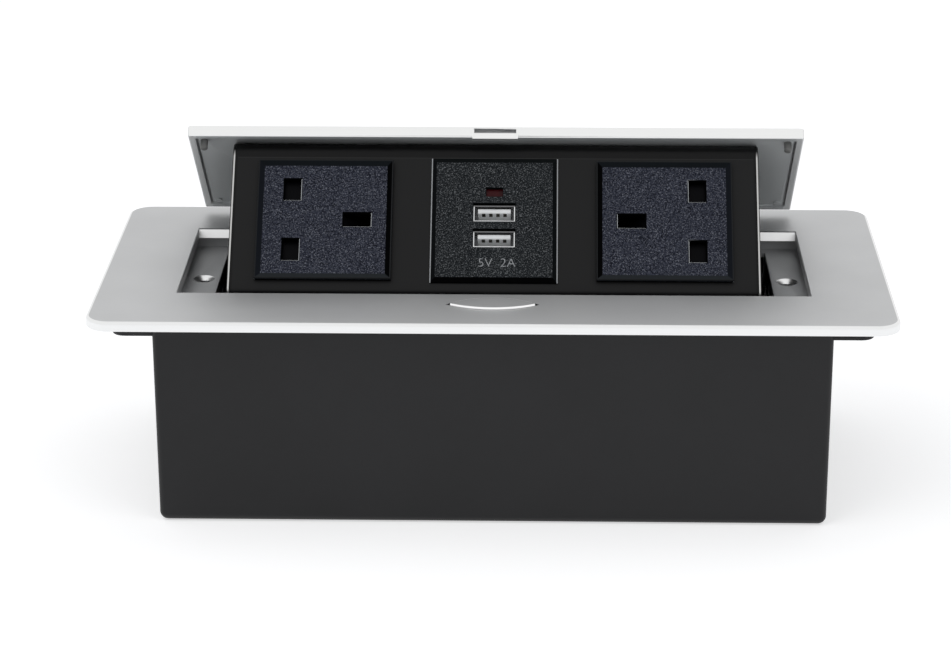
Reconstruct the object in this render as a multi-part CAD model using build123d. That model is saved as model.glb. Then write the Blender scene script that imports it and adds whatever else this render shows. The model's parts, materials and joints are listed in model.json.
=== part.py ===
from build123d import *
import math
import os

# An in-desk power module. A cast bezel drops into a cut-out in a worktop and carries a sheet
# steel housing under it. A button frees a latch, and springs lift a lid with a carriage of two
# mains sockets and a USB charger.
# Millimetres. X runs along the bezel, Y to the back and Z up. The origin is the middle of the
# housing's underside. The lid and carriage are drawn shut, then turned open on their hinge.

# Socket faces and what stands behind them
pin_spacing = 22.2
line_slot_width = 5.6
line_slot_height = 7.6
earth_slot_width = 9.2
earth_slot_height = 4.8
slot_edge = 0.4
socket_side_margin = 8.2
socket_end_margin = 7.1
socket_length = pin_spacing + (line_slot_width + earth_slot_width) / 2 + 2 * socket_side_margin
socket_height = pin_spacing + line_slot_height + 2 * socket_end_margin
socket_drop = 7.7
socket_rim = 2.0
socket_rim_edge = 0.3
socket_bevel = 2.0
socket_sink = 0.9
module_fit = 0.2
module_lip = 1.5
module_depth = 24.0
module_wall = 1.1
module_floor = 1.5
contact_leaf = 0.6
contact_gap = 3.8
contact_height = 6.0
contact_recess = 3.1
earth_contact_gap = 7.8
earth_contact_height = 4.0
terminal = 4.4
terminal_height = 1.6
driver_slot = 0.8
driver_slot_depth = 0.7
shutter_thickness = 1.2
shutter_gap = 0.2
shutter_cover = 0.7
shutter_height = 31.0
shutter_window_height = 8.4
shutter_window = 4.4
shutter_rail = 2.0
shutter_arm_height = 7.0
shutter_wedge = 5.4
shutter_wedge_depth = 4.6
shutter_wedge_edge = 0.8
shutter_wedge_width = 4.0
shutter_tab = 1.2
shutter_tab_height = 4.2
shutter_spring = 3.0
shutter_spring_lift = 0.6
shutter_wire = 0.4
shutter_turns = 7
spring_stop = 1.5
spring_stop_width = 5.0

# Charger between the sockets
usb_length = 43.0
usb_height = 46.0
usb_drop = 6.5
usb_proud = 1.3
usb_bevel = 1.9
usb_bevel_depth = 0.7
port_length = 14.2
port_height = 6.6
port_top_gap = 0.6
port_wall = 0.45
port_depth = 14.0
port_recess = 0.5
port_drops = (20.3, 29.8)
tongue_length = 11.1
tongue_height = 1.8
tongue_lift = 1.0
tongue_recess = 0.9
tongue_root = 3.0
tongue_edge = 0.3
led_length = 5.6
led_height = 3.2
led_drop = 12.8
led_recess = 1.5
light_pipe = 2.6
board_thickness = 1.6
board_gap = 0.6
post = 5.0
transformer_length = 15.0
transformer_height = 12.0
transformer_clearance = 3.9
transformer_lift = 4.0
transformer_edge = 1.0
capacitor = 6.0
capacitor_clearance = 3.8
capacitor_lowering = 12.0
capacitor_edge = 0.5

# Carriage
module_space = 12.9
carriage_margin = 9.2
socket_offset = usb_length / 2 + module_space + socket_length / 2
carriage_length = 2 * (socket_offset + socket_length / 2 + carriage_margin)
side_sheet = 1.0
panel_sheet = 1.5
panel_lid_setback = 4.0
panel_margin = 1.5
panel_reach = max(usb_drop + usb_height, socket_drop + socket_height) + panel_margin
panel_bend = 5.0
panel_foot_bend = 2.5
panel_foot = 9.0
wire_space = 11.9
cover_sheet = 1.2
cover_bend = 1.0
cover_foot_lap = 3.0
cover_setback = panel_sheet + module_depth + wire_space + cover_sheet
carriage_shelf = 4.0
carriage_top_depth = cover_setback + carriage_shelf
cable_slot_length = 30.0
cable_slot_height = 10.0
cable_slot_lift = 14.0
arm_rise = 2.8
arm_reach = 8.0
arm_heel = 2.0
lid_screw_front = 14.0
lid_screw_back = 12.0
lid_screw_side = 5.0

# Lid
lid_gap = 0.6
lid_overhang = 14.4
lid_depth = panel_lid_setback + carriage_top_depth + lid_overhang
lid_thickness = 4.0
lid_rim = 2.4
lid_pocket = 0.8
lid_tail = 2.0
lid_tail_length = 2.8
lid_corner = 1.0
lid_edge = 0.5
lid_groove = 0.7
lid_groove_depth = 1.6
latch_slot_length = 14.3
latch_slot_height = 1.6
latch_slot_depth = 2.4
latch_slot_skin = 0.8
lip_drop = 0.6
lip_length = 15.6
lip_slope = 0.6
bumper = 2.6
bumper_height = 2.7
bumper_clearance = 0.8
pip_height = 0.5
lid_screw_depth = 2.2

# Hinge's place, and the gap that lets the lid's tail swing past the edge behind it
hinge_setback = 13.0
hinge_lift = 29.2
tail_clearance = 0.355
hinge_drop = lid_thickness + panel_reach - hinge_lift
tail_swing = math.hypot(hinge_setback, hinge_drop) + tail_clearance
lid_rear_gap = math.sqrt(tail_swing**2 - (hinge_drop - lid_tail) ** 2) - hinge_setback

# Bezel and its sunk ledge
opening_margin = 16.05
opening_length = carriage_length + 2 * opening_margin
opening_depth = lid_gap + lid_depth + lid_rear_gap
side_border = 27.35
front_border = 28.8
back_border = 25.2
bezel_length = opening_length + 2 * side_border
bezel_depth = front_border + opening_depth + back_border
bezel_thickness = 3.2
bezel_corner = 8.0
bezel_edge = 1.0
opening_edge = 0.3
opening_slope = 1.0
well_setback = 1.0
well_wall = 1.6
ledge_drop = 7.0
ledge_thickness = 1.6
side_ledge = 10.6
back_ledge = 3.0
ledge_hole = 4.5
ledge_countersink = 7.5
ledge_boss = 10.0
ledge_boss_length = 4.0
ledge_hole_inset = 5.2

# Housing under the worktop
floor_space = 17.0
overall_depth = lid_thickness + panel_reach + floor_space
housing_side_margin = 6.35
housing_length = opening_length + 2 * housing_side_margin
housing_front_inset = 9.2
housing_back_inset = 4.5
sheet = 1.2
housing_edge = 3.0
housing_corner = 2.0
flange_width = 13.5
flange_corner = 4.5
flange_drop = 7.4
grommet_hole = 16.0
grommet_height = 22.0
grommet_offset = 70.0
grommet_lip = 2.5
grommet_inner_lip = 1.6
grommet_edge = 1.0
vent_length = 14.0
vent_width = 2.4
vent_pitch = 6.0
vent_count = 6

# Screws
screw = 4.0
screw_head = 7.0
screw_head_height = 2.2
screw_end_gap = 1.0
small_screw = 3.0
small_head = 5.6
small_head_height = 1.8
head_rounding = 0.4
thread_gap = 0.03
hole_gap = 0.15
boss = 8.0

# Hinge
open_angle = 43.0
hinge_pin = 5.0
pin_head = 9.0
pin_head_height = 1.2
pin_tail = 10.8
pin_slot = 3.0
hinge_boss = 12.0
bush_wall = 1.0
bush_flange = 10.0
bush_flange_thickness = 1.3
bush_end = 0.6
running_gap = 0.05
side_gap = 0.15
bracket_sheet = 1.5
bracket_drop = 8.6
bracket_depth = 12.0
bracket_foot = 14.0
bracket_hang = 8.5
bracket_hole_inset = 8.1
bracket_inner_bend = 0.5
bracket_rounding = 3.0
torsion_wire = 1.2
torsion_radius = 4.2
torsion_turns = 4
torsion_pitch = 1.35
torsion_leg_inset = 0.3

# Button and latch
button_length = 30.0
button_width = 10.4
button_gap = 0.25
button_back = 19.0
button_raise = 0.8
button_dome = 0.35
button_flange = 1.0
button_flange_thickness = 1.2
button_flange_gap = 0.2
stem_width = 5.0
stem_depth = 1.4
stem_tip = 1.0
stem_setback = 3.5
latch_back = 25.5
latch_drop = 12.0
latch_pin = 2.5
latch_pin_end = 0.6
latch_pin_head = 4.0
latch_hub = 5.2
latch_sheet = 1.0
latch_width = 12.0
latch_arm_back = 27.7
tongue_reach = 2.9
tongue_top = 1.0
tongue_tip_top = 1.7
tongue_bottom = 2.2
pocket_length = 14.0
pocket_depth = 3.9
pocket_skin = 0.8
lever_arm = 11.2
lever_width = 8.0
lever_gap = 0.1
latch_bracket_length = 39.4
latch_bracket_front = 12.0
latch_bracket_back = 27.0
latch_bracket_drop = 17.0
latch_ear = 8.0
latch_ear_width = 9.0
latch_window_gap = 2.0
button_spring = 5.0
button_spring_offset = 9.0
button_wire = 0.6
button_turns = 6
spring_post_gap = 0.4
spring_post_height = 3.0

# Places worked out from the driving dimensions
front = -bezel_depth / 2
top = overall_depth
underside = top - bezel_thickness
open_x = opening_length / 2
open_front = front + front_border
open_back = open_front + opening_depth
open_middle = (open_front + open_back) / 2
housing_x = housing_length / 2
housing_front = front + housing_front_inset
housing_back = -front - housing_back_inset
hinge_y = open_back + hinge_setback
hinge_z = top - hinge_drop
lid_x = open_x - lid_gap
lid_front = open_front + lid_gap
lid_back = lid_front + lid_depth
lid_under = top - lid_thickness
pocket_top = lid_under + lid_pocket
pocket_back = lid_back - lid_tail_length - lid_rim
bumper_inset = lid_rim + lid_groove + bumper_clearance + bumper / 2
carriage_x = carriage_length / 2
panel_x = carriage_x - side_sheet
panel_y = lid_front + panel_lid_setback
panel_bottom = lid_under - panel_reach
back_of_panel = panel_y + panel_sheet
rim_front = panel_y - socket_rim
socket_front = rim_front + socket_sink
usb_front = panel_y - usb_proud
module_back = back_of_panel + module_depth
cover_y = panel_y + cover_setback
bush_radius = hinge_pin / 2 + running_gap + bush_wall
bracket_x = carriage_x + side_gap + bush_flange_thickness
pin_tail_end = bracket_x + bracket_sheet + pin_tail
button_y = front + button_back
button_flange_top = underside - button_flange_gap
button_flange_bottom = button_flange_top - button_flange_thickness
latch_y = front + latch_back
latch_z = top - latch_drop
latch_floor = top - latch_bracket_drop
hinge_axis = Axis((0, hinge_y, hinge_z), (1, 0, 0))


def box(x0, x1, y0, y1, z0, z1):
    middle = Pos((x0 + x1) / 2, (y0 + y1) / 2, (z0 + z1) / 2)
    return middle * Box(x1 - x0, y1 - y0, z1 - z0)


def rod_x(diameter, x0, x1, y, z):
    return Pos((x0 + x1) / 2, y, z) * Rot(0, 90, 0) * Cylinder(diameter / 2, x1 - x0)


def rod_y(diameter, x, y0, y1, z):
    return Pos(x, (y0 + y1) / 2, z) * Rot(90, 0, 0) * Cylinder(diameter / 2, y1 - y0)


def rod_z(diameter, x, y, z0, z1):
    return Pos(x, y, (z0 + z1) / 2) * Cylinder(diameter / 2, z1 - z0)


def across(points, x0, x1):
    """A solid from an outline of (y, z) points, run along X."""
    outline = Plane.YZ.offset(x0) * make_face(Polyline(*points, close=True))
    return extrude(outline, x1 - x0, dir=(1, 0, 0))


def round_edge(part, radius, along, near):
    edge = part.edges().filter_by(along).sort_by_distance(near)[0]
    return fillet(edge, radius)


def mirrored(part):
    return mirror(part, about=Plane.YZ)


def opened(part):
    return part.rotate(hinge_axis, -open_angle)


def save(part, name):
    export_step(part, "parts/" + name + ".step")


def lens(length, width, height):
    """A flat lens with pointed ends, made of two arcs."""
    front_arc = ThreePointArc((-length / 2, 0), (0, -width / 2), (length / 2, 0))
    back_arc = ThreePointArc((-length / 2, 0), (0, width / 2), (length / 2, 0))
    return extrude(make_face(front_arc + back_arc), height)


def coil(diameter, wire, turns, length):
    """A round wire coil along Z from its lowest wire centre."""
    path = Helix(pitch=length / turns, height=length, radius=(diameter - wire) / 2)
    section = Plane(origin=path @ 0, z_dir=path % 0) * Circle(wire / 2)
    return sweep(section, path=path, is_frenet=True)


def upward_screw(x, y, seat, length, diameter, head, head_height):
    """A pan head below the seat height and a shank above it."""
    shank = rod_z(diameter - 2 * thread_gap, x, y, seat, seat + length)
    cap = rod_z(head, x, y, seat - head_height, seat)
    cap = fillet(cap.edges().sort_by(Axis.Z)[0], head_height * head_rounding)
    return cap + shank


def make_bezel():
    outline = Pos(0, 0, underside) * RectangleRounded(bezel_length, bezel_depth, bezel_corner)
    plate = extrude(outline, bezel_thickness)
    plate = fillet(plate.faces().sort_by(Axis.Z)[-1].edges(), bezel_edge)
    opening = [
        (open_front, underside),
        (open_back - opening_slope, underside),
        (open_back, top),
        (open_front, top),
    ]
    plate -= across(opening, -open_x, open_x)
    inner_edges = [e for e in plate.faces().sort_by(Axis.Z)[-1].edges() if abs(e.center().X) < open_x + 1]
    inner_edges = [e for e in inner_edges if open_front - 1 < e.center().Y < open_back + 1]
    plate = chamfer(inner_edges, opening_edge)
    inner_x = open_x + well_setback
    inner_front = open_front - well_setback
    inner_back = open_back + well_setback
    outer_x = inner_x + well_wall
    outer_back = inner_back + well_wall
    floor = top - ledge_drop
    bottom = floor - ledge_thickness
    well = box(-outer_x, outer_x, inner_front - well_wall, outer_back, bottom, underside)
    well -= box(-inner_x, inner_x, inner_front, inner_back, floor, underside)
    ledge_x = open_x - side_ledge
    ledge_y = open_back - back_ledge
    well -= box(-ledge_x, ledge_x, inner_front, ledge_y, bottom, floor)
    window = latch_bracket_length / 2 + latch_window_gap
    well -= box(-window, window, inner_front - well_wall, inner_front, bottom, underside)
    bezel = plate + well
    for side in (-1, 1):
        hole_x = side * (open_x - ledge_hole_inset)
        bezel += rod_z(ledge_boss, hole_x, open_middle, bottom - ledge_boss_length, bottom)
        bezel -= rod_z(ledge_hole, hole_x, open_middle, bottom - ledge_boss_length, floor)
        sink = (ledge_countersink - ledge_hole) / 2
        cone = Cone(ledge_hole / 2, ledge_countersink / 2, sink)
        bezel -= Pos(hole_x, open_middle, floor - sink / 2) * cone
        for x, y, seat in bezel_bosses(side):
            bezel += rod_z(boss, x, y, seat, underside)
            bezel -= rod_z(screw, x, y, seat, top - pocket_skin * 2)
    button_hole = lens(button_length + 4 * button_gap, button_width + 2 * button_gap, bezel_thickness)
    bezel -= Pos(0, button_y, underside) * button_hole
    pocket_y = open_front - pocket_depth
    half = pocket_length / 2
    bezel -= box(-half, half, pocket_y, open_front, underside, top - pocket_skin)
    for x in latch_screw_places():
        bezel -= rod_z(small_screw, x, button_y, underside, top - pocket_skin)
    return bezel


def bezel_bosses(side):
    """Each boss's place and the height of its lower face."""
    flange_x = side * (housing_x + flange_width / 2)
    bracket_hole_x = side * (bracket_x + bracket_hole_inset)
    return [
        (flange_x, open_front, top - flange_drop),
        (flange_x, open_back, top - flange_drop),
        (bracket_hole_x, hinge_y, top - bracket_drop),
    ]


def latch_screw_places():
    offset = latch_bracket_length / 2 + latch_ear / 2
    return (-offset, offset)


def make_housing():
    shell = box(-housing_x, housing_x, housing_front, housing_back, 0, underside)
    shell = fillet(shell.edges().filter_by(Axis.Z), housing_corner)
    shell = fillet(shell.faces().sort_by(Axis.Z)[0].edges().filter_by(GeomType.LINE), housing_edge)
    inside = box(
        sheet - housing_x,
        housing_x - sheet,
        housing_front + sheet,
        housing_back - sheet,
        sheet,
        underside,
    )
    inside = fillet(inside.edges().filter_by(Axis.Z), housing_corner - sheet)
    floor_edges = inside.faces().sort_by(Axis.Z)[0].edges().filter_by(GeomType.LINE)
    inside = fillet(floor_edges, housing_edge - sheet)
    shell -= inside
    flange_top = top - flange_drop
    for side in (-1, 1):
        wall_in = side * (housing_x - sheet)
        wall_out = side * housing_x
        low = min(wall_in, wall_out)
        high = max(wall_in, wall_out)
        clear = housing_corner + sheet
        shell -= box(low, high, housing_front + clear, housing_back - clear, flange_top, underside)
        outer = side * (housing_x + flange_width)
        flange = box(
            min(wall_in, outer),
            max(wall_in, outer),
            housing_front + sheet,
            housing_back - sheet,
            flange_top - sheet,
            flange_top,
        )
        corners = flange.edges().filter_by(Axis.Z).group_by(Axis.X)[-1 if side > 0 else 0]
        shell += fillet(corners, flange_corner)
        for x, y, seat in bezel_bosses(side)[:2]:
            shell -= rod_z(screw + 2 * hole_gap, x, y, flange_top - sheet, flange_top)
    shell -= rod_y(grommet_hole, -grommet_offset, housing_back - sheet, housing_back, grommet_height)
    for index in range(vent_count):
        height = grommet_height + index * vent_pitch
        slot = Rot(90, 0, 0) * SlotOverall(vent_length, vent_width)
        shell -= extrude(Pos(grommet_offset, housing_back, height) * slot, sheet * 2, both=True)
    return shell


def make_grommet():
    lip = grommet_hole + 2 * grommet_lip
    wall = housing_back
    ring = rod_y(grommet_hole, -grommet_offset, wall - sheet, wall, grommet_height)
    ring += rod_y(lip, -grommet_offset, wall, wall + grommet_lip, grommet_height)
    inner = wall - sheet - grommet_inner_lip
    ring += rod_y(lip, -grommet_offset, inner, wall - sheet, grommet_height)
    ring = fillet(ring.edges().filter_by(GeomType.CIRCLE).sort_by(Axis.Y)[-1], grommet_edge)
    bore = grommet_hole - 2 * grommet_lip
    return ring - rod_y(bore, -grommet_offset, inner, wall + grommet_lip, grommet_height)


def make_housing_screws():
    seat = top - flange_drop - sheet
    screws = []
    for side in (-1, 1):
        for x, y, lower in bezel_bosses(side)[:2]:
            length = flange_drop - screw_end_gap
            screws.append(upward_screw(x, y, seat, length, screw, screw_head, screw_head_height))
    return Compound(children=screws)


def make_bracket():
    """Right-hand hinge bracket: a foot under the bezel and a cheek round the bush."""
    foot_top = top - bracket_drop
    y0 = hinge_y - bracket_depth / 2
    y1 = hinge_y + bracket_depth / 2
    outer = bracket_x + bracket_foot
    cheek = box(bracket_x, bracket_x + bracket_sheet, y0, y1, hinge_z - bracket_hang, foot_top)
    foot = box(bracket_x, outer, y0, y1, foot_top - bracket_sheet, foot_top)
    bracket = cheek + foot
    outer_bend = bracket_sheet + bracket_inner_bend
    bracket = round_edge(bracket, outer_bend, Axis.Y, (bracket_x, hinge_y, foot_top))
    inner_corner = (bracket_x + bracket_sheet, hinge_y, foot_top - bracket_sheet)
    bracket = round_edge(bracket, bracket_inner_bend, Axis.Y, inner_corner)
    lower = bracket.edges().filter_by(Axis.X).group_by(Axis.Z)[0]
    bracket = fillet(lower, bracket_rounding)
    bracket -= rod_x(2 * bush_radius, bracket_x, bracket_x + bracket_sheet, hinge_y, hinge_z)
    x, y, seat = bezel_bosses(1)[2]
    bracket -= rod_z(screw + 2 * hole_gap, x, y, foot_top - bracket_sheet, foot_top)
    return bracket


def make_bracket_screws():
    seat = top - bracket_drop - bracket_sheet
    screws = []
    for side in (-1, 1):
        x, y, lower = bezel_bosses(side)[2]
        length = bracket_drop - screw_end_gap
        screws.append(upward_screw(x, y, seat, length, screw, screw_head, screw_head_height))
    return Compound(children=screws)


def make_bush():
    """Right-hand flanged bush, pressed into its bracket."""
    flange_start = bracket_x - bush_flange_thickness
    bush = rod_x(bush_flange, flange_start, bracket_x, hinge_y, hinge_z)
    end = bracket_x + bracket_sheet + bush_end
    bush += rod_x(2 * bush_radius, bracket_x, end, hinge_y, hinge_z)
    return bush - rod_x(hinge_pin + 2 * running_gap, flange_start, end, hinge_y, hinge_z)


def make_hinge_pin():
    """Right-hand hinge pin with a head inside the carriage and a slotted tail."""
    start = panel_x - pin_head_height
    tail = pin_tail_end
    pin = rod_x(pin_head, start, panel_x, hinge_y, hinge_z)
    pin += rod_x(hinge_pin, panel_x, tail, hinge_y, hinge_z)
    half = torsion_wire / 2 + running_gap
    wide = hinge_pin
    slot = box(tail - pin_slot, tail, hinge_y - wide, hinge_y + wide, hinge_z - half, hinge_z + half)
    return pin - slot


def make_torsion_spring():
    """Right-hand lifting spring: a leg in the pin's slot, its turns and a leg under the foot."""
    turns = torsion_turns + (180 - open_angle) / 360
    length = turns * torsion_pitch
    upright = coil(2 * torsion_radius + torsion_wire, torsion_wire, turns, length)
    body = Rot(-90, 0, 0) * Rot(0, 90, 0) * upright
    slot_leg_x = length - torsion_leg_inset
    slot_leg = rod_y(torsion_wire, slot_leg_x, -torsion_radius, torsion_radius, 0)
    leg_height = hinge_drop - bracket_drop - bracket_sheet
    foot_leg = rod_z(torsion_wire, torsion_leg_inset, -torsion_radius, 0, leg_height)
    spring = body + slot_leg.rotate(Axis.X, -open_angle) + foot_leg
    slot_bottom = pin_tail_end - pin_slot
    start = slot_bottom + running_gap + torsion_wire / 2 - slot_leg_x
    return Pos(start, hinge_y, hinge_z) * spring


def make_lid():
    tail_z = top - lid_tail
    points = [
        (lid_front, top),
        (lid_front, lid_under),
        (lid_back - lid_tail_length, lid_under),
        (lid_back, tail_z),
        (lid_back, top),
    ]
    lid = across(points, -lid_x, lid_x)
    lid = fillet(lid.edges().filter_by(Axis.Z), lid_corner)
    lid = round_edge(lid, lid_edge, Axis.X, (0, lid_front, top))
    lid = chamfer(lid.edges().filter_by(Axis.X).sort_by_distance((0, lid_front, lid_under))[0], lid_edge)
    pocket_x = lid_x - lid_rim
    lid -= box(-pocket_x, pocket_x, lid_front + lid_rim, pocket_back, lid_under, pocket_top)
    groove_top = lid_under + lid_groove_depth
    for side in (-1, 1):
        x0, x1 = sorted((side * pocket_x, side * (pocket_x - lid_groove)))
        lid -= box(x0, x1, lid_front + lid_rim, pocket_back, lid_under, groove_top)
        pip_y = pocket_back - bumper_clearance - bumper / 2
        lid += rod_z(bumper, side * (lid_x - bumper_inset), pip_y, pocket_top - pip_height, pocket_top)
    half = lip_length / 2
    lip = [
        (lid_front, lid_under + lid_edge),
        (lid_front, lid_under - lip_drop),
        (lid_front + lid_rim - lip_slope, lid_under - lip_drop),
        (lid_front + lid_rim, lid_under),
        (lid_front + lid_rim, lid_under + lid_edge),
    ]
    lid += across(lip, -half, half)
    slot_top = top - latch_slot_skin
    half = latch_slot_length / 2
    slot_bottom = slot_top - latch_slot_height
    lid -= box(-half, half, lid_front, lid_front + latch_slot_depth, slot_bottom, slot_top)
    for x, y in lid_screw_places():
        lid -= rod_z(small_screw, x, y, pocket_top, pocket_top + lid_screw_depth)
    return lid


def lid_screw_places():
    x = (socket_offset - socket_length / 2 + usb_length / 2) / 2
    y0 = panel_y + lid_screw_front
    y1 = panel_y + carriage_top_depth - lid_screw_back
    outer = panel_x - lid_screw_side
    return [(-x, y0), (x, y0), (-x, y1), (x, y1), (-outer, y1), (outer, y1)]


def make_lid_screws():
    seat = pocket_top - panel_sheet
    length = panel_sheet + lid_screw_depth - hole_gap
    screws = []
    for x, y in lid_screw_places():
        screws.append(upward_screw(x, y, seat, length, small_screw, small_head, small_head_height))
    return Compound(children=screws)


def make_bumpers():
    pads = []
    for side in (-1, 1):
        x = side * (lid_x - bumper_inset)
        y = lid_front + bumper_inset
        pad = rod_z(bumper, x, y, lid_under - bumper_height, pocket_top)
        pads.append(fillet(pad.edges().sort_by(Axis.Z)[0], bumper / 4))
    return Compound(children=pads)


def module_places():
    """Each module's middle, size and the height of its middle."""
    socket_z = lid_under - socket_drop - socket_height / 2
    usb_z = lid_under - usb_drop - usb_height / 2
    return {
        "left": (-socket_offset, socket_z, socket_length, socket_height),
        "usb": (0.0, usb_z, usb_length, usb_height),
        "right": (socket_offset, socket_z, socket_length, socket_height),
    }


def make_panel():
    outer = [
        (panel_y, pocket_top),
        (panel_y, panel_bottom),
        (panel_y + panel_foot, panel_bottom),
        (panel_y + panel_foot, panel_bottom + panel_sheet),
        (back_of_panel, panel_bottom + panel_sheet),
        (back_of_panel, pocket_top - panel_sheet),
        (panel_y + carriage_top_depth, pocket_top - panel_sheet),
        (panel_y + carriage_top_depth, pocket_top),
    ]
    panel = across(outer, -panel_x, panel_x)
    panel = round_edge(panel, panel_bend, Axis.X, (0, panel_y, pocket_top))
    inner_top = (0, back_of_panel, pocket_top - panel_sheet)
    panel = round_edge(panel, panel_bend - panel_sheet, Axis.X, inner_top)
    panel = round_edge(panel, panel_foot_bend, Axis.X, (0, panel_y, panel_bottom))
    inner_foot = (0, back_of_panel, panel_bottom + panel_sheet)
    panel = round_edge(panel, panel_foot_bend - panel_sheet, Axis.X, inner_foot)
    for x, z, length, height in module_places().values():
        half_x = length / 2 - module_lip + module_fit
        half_z = height / 2 - module_lip + module_fit
        panel -= box(x - half_x, x + half_x, panel_y, back_of_panel, z - half_z, z + half_z)
    for x, y in lid_screw_places():
        panel -= rod_z(small_screw + 2 * hole_gap, x, y, pocket_top - panel_sheet, pocket_top)
    return panel


def make_side_plate():
    """Right-hand side of the carriage, with the arm that turns on the hinge."""
    top_back = panel_y + carriage_top_depth
    points = [
        (panel_y, pocket_top),
        (panel_y, panel_bottom),
        (panel_y + cover_setback, panel_bottom),
        (hinge_y - arm_heel, hinge_z - hinge_boss / 2),
        (hinge_y, hinge_z - hinge_boss / 2),
        (hinge_y, hinge_z),
        (top_back + arm_reach, hinge_z),
        (top_back, hinge_z + arm_rise),
        (top_back, pocket_top),
    ]
    plate = across(points, panel_x, carriage_x)
    plate += rod_x(hinge_boss, panel_x, carriage_x, hinge_y, hinge_z)
    plate = round_edge(plate, panel_bend, Axis.X, (carriage_x, panel_y, pocket_top))
    plate = round_edge(plate, panel_foot_bend, Axis.X, (carriage_x, panel_y, panel_bottom))
    return plate - rod_x(hinge_pin, panel_x, carriage_x, hinge_y, hinge_z)


def make_cover():
    floor = panel_bottom + panel_sheet
    roof = pocket_top - panel_sheet
    foot = panel_y + panel_foot - cover_foot_lap
    points = [
        (cover_y, roof),
        (cover_y, floor),
        (foot, floor),
        (foot, floor + cover_sheet),
        (cover_y - cover_sheet, floor + cover_sheet),
        (cover_y - cover_sheet, roof),
    ]
    cover = across(points, -panel_x, panel_x)
    cover = round_edge(cover, cover_sheet + cover_bend, Axis.X, (0, cover_y, floor))
    inner = (0, cover_y - cover_sheet, floor + cover_sheet)
    cover = round_edge(cover, cover_bend, Axis.X, inner)
    slot = Rot(90, 0, 0) * SlotOverall(cable_slot_length, cable_slot_height)
    cut = extrude(Pos(0, cover_y, floor + cable_slot_lift) * slot, cover_sheet * 2, both=True)
    return cover - cut


def module_plate(x, z, length, height, start):
    """A face plate with a spigot that fills the panel's cut-out."""
    half_x = length / 2
    half_z = height / 2
    plate = box(x - half_x, x + half_x, start, panel_y, z - half_z, z + half_z)
    inner_x = half_x - module_lip
    inner_z = half_z - module_lip
    return plate + box(x - inner_x, x + inner_x, panel_y, back_of_panel, z - inner_z, z + inner_z)


def facing_front(x, y, z):
    """A plane on a face, looking into the part."""
    return Plane((x, y, z), x_dir=(1, 0, 0), z_dir=(0, 1, 0))


def socket_slots(x, z):
    """Line, neutral and earth slots of the left socket: middle and size."""
    half = pin_spacing / 2
    return [
        (x - half, z + half, line_slot_width, line_slot_height),
        (x - half, z - half, line_slot_width, line_slot_height),
        (x + half, z, earth_slot_width, earth_slot_height),
    ]


def slot_cutter(x, z, width, height):
    cut = box(x - width / 2, x + width / 2, socket_front, back_of_panel, z - height / 2, z + height / 2)
    flare = Rectangle(width + 2 * slot_edge, height + 2 * slot_edge)
    return cut + extrude(facing_front(x, socket_front, z) * flare, slot_edge, taper=45)


def make_socket_face():
    """A raised rim that slopes down to a sunk face."""
    x, z, length, height = module_places()["left"]
    face = module_plate(x, z, length, height, rim_front)
    mouth = Rectangle(length - 2 * socket_rim_edge, height - 2 * socket_rim_edge)
    slope = math.degrees(math.atan2(socket_bevel, socket_sink))
    face -= extrude(facing_front(x, rim_front, z) * mouth, socket_sink, taper=slope)
    for slot in socket_slots(x, z):
        face -= slot_cutter(*slot)
    return face


def module_tray(x, z, length, height):
    half_x = length / 2 - module_lip
    half_z = height / 2 - module_lip
    tray = box(x - half_x, x + half_x, back_of_panel, module_back, z - half_z, z + half_z)
    inner_x = half_x - module_wall
    inner_z = half_z - module_wall
    floor = module_back - module_floor
    return tray - box(x - inner_x, x + inner_x, back_of_panel, floor, z - inner_z, z + inner_z)


def make_socket_base():
    x, z, length, height = module_places()["left"]
    base = module_tray(x, z, length, height)
    seat = spring_seat(x)
    floor = module_back - module_floor
    low = z - spring_stop_width / 2
    stop_start = shutter_back() + shutter_spring_lift
    base += box(seat - spring_stop, seat, stop_start, floor, low, low + spring_stop_width)
    for slot_x, slot_z, width, slot_height in socket_slots(x, z):
        base -= rod_y(small_screw, slot_x, floor, module_back, slot_z)
    return base


def spring_seat(x):
    return x - pin_spacing / 2 - spring_stop


def shutter_back():
    return back_of_panel + shutter_gap + shutter_thickness


def make_contact(x, z, width, height, start):
    """A folded clip whose two leaves grip a pin, standing on the base's floor."""
    floor = module_back - module_floor
    half = width / 2
    gap = half - contact_leaf
    clip = box(x - half, x + half, start, floor, z - height / 2, z + height / 2)
    clip -= box(x - gap, x + gap, start, floor - contact_leaf, z - height / 2, z + height / 2)
    return clip


def make_contacts():
    x, z, length, height = module_places()["left"]
    line, neutral, earth = socket_slots(x, z)
    start = back_of_panel + contact_recess
    width = contact_gap + 2 * contact_leaf
    earth_width = earth_contact_gap + 2 * contact_leaf
    deep = start + shutter_wedge_depth
    return {
        "live_contact": make_contact(line[0], line[1], width, contact_height, start),
        "neutral_contact": make_contact(neutral[0], neutral[1], width, contact_height, start),
        "earth_contact": make_contact(earth[0], earth[1], earth_width, earth_contact_height, deep),
    }


def make_terminals():
    x, z, length, height = module_places()["left"]
    floor = module_back - module_floor
    screws = []
    for slot_x, slot_z, width, slot_height in socket_slots(x, z):
        shank = rod_y(small_screw - 2 * thread_gap, slot_x, floor, module_back, slot_z)
        back = module_back + terminal_height
        head = rod_y(terminal, slot_x, module_back, back, slot_z)
        half = driver_slot / 2
        slot_start = back - driver_slot_depth
        head -= box(slot_x - half, slot_x + half, slot_start, back, slot_z - terminal, slot_z + terminal)
        screws.append(shank + head)
    return Compound(children=screws)


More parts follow.
